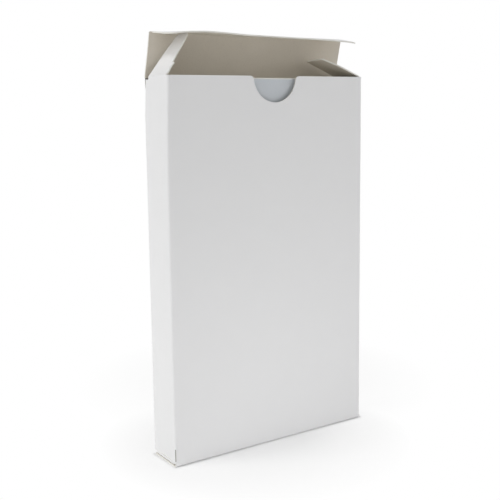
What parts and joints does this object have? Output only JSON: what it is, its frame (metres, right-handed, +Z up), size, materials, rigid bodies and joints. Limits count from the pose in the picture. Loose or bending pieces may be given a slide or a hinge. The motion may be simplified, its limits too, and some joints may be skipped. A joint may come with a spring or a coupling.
{
  "type": "tuck box",
  "caption": "Folding card box with an open tuck lid, dust flaps, a glued bottom and a half-moon thumb cut, holding a blank deck.",
  "frame": {"origin": "centre of the tube's underside, where the box stands", "axes": "+Z up the tube, +X to the right seen from the front, +Y from the thumb cut's face to the back"},
  "size_m": [0.0834, 0.0172, 0.1469],
  "materials": {
    "white_board": "satin",
    "inside_board": "matte",
    "card_stock": "satin"
  },
  "bodies": {
    "tube": {"front_panel": "white_board", "back_panel": "white_board", "left_side_panel": "white_board", "right_side_panel": "white_board", "glue_flap": "inside_board", "bottom_outer_flap": "white_board", "bottom_inner_flap": "inside_board", "bottom_left_dust_flap": "inside_board", "bottom_right_dust_flap": "inside_board", "card_deck": "card_stock"},
    "lid": {"lid_panel": "white_board"},
    "tongue": {"tuck_tongue": "white_board"},
    "left_flap": {"left_dust_flap": "white_board"},
    "right_flap": {"right_dust_flap": "white_board"}
  },
  "joints": [
    {"name": "lid_fold", "type": "hinge", "parent": "tube", "child": "lid", "pos_m": [0, 0.00737, 0.1328], "axis": [-1, 0, 0], "range_deg": [-76, 104], "deforming": ["tuck_tongue", "left_dust_flap"]},
    {"name": "tongue_fold", "type": "hinge", "parent": "lid", "child": "tongue", "pos_m": [0, 0.00393, 0.14663], "axis": [1, 0, 0], "range_deg": [-78, 12]},
    {"name": "left_flap_fold", "type": "hinge", "parent": "tube", "child": "left_flap", "pos_m": [-0.04147, 0, 0.13225], "axis": [0, -1, 0], "range_deg": [-52, 128]},
    {"name": "right_flap_fold", "type": "hinge", "parent": "tube", "child": "right_flap", "pos_m": [0.04147, 0, 0.13225], "axis": [0, 1, 0], "range_deg": [-21, 159]}
  ],
  "couplings": [
    {"joint": "tongue_fold", "follows": "lid_fold", "ratio": -0.1579},
    {"joint": "left_flap_fold", "follows": "lid_fold", "ratio": 0.68421},
    {"joint": "right_flap_fold", "follows": "lid_fold", "ratio": 0.27632}
  ]
}
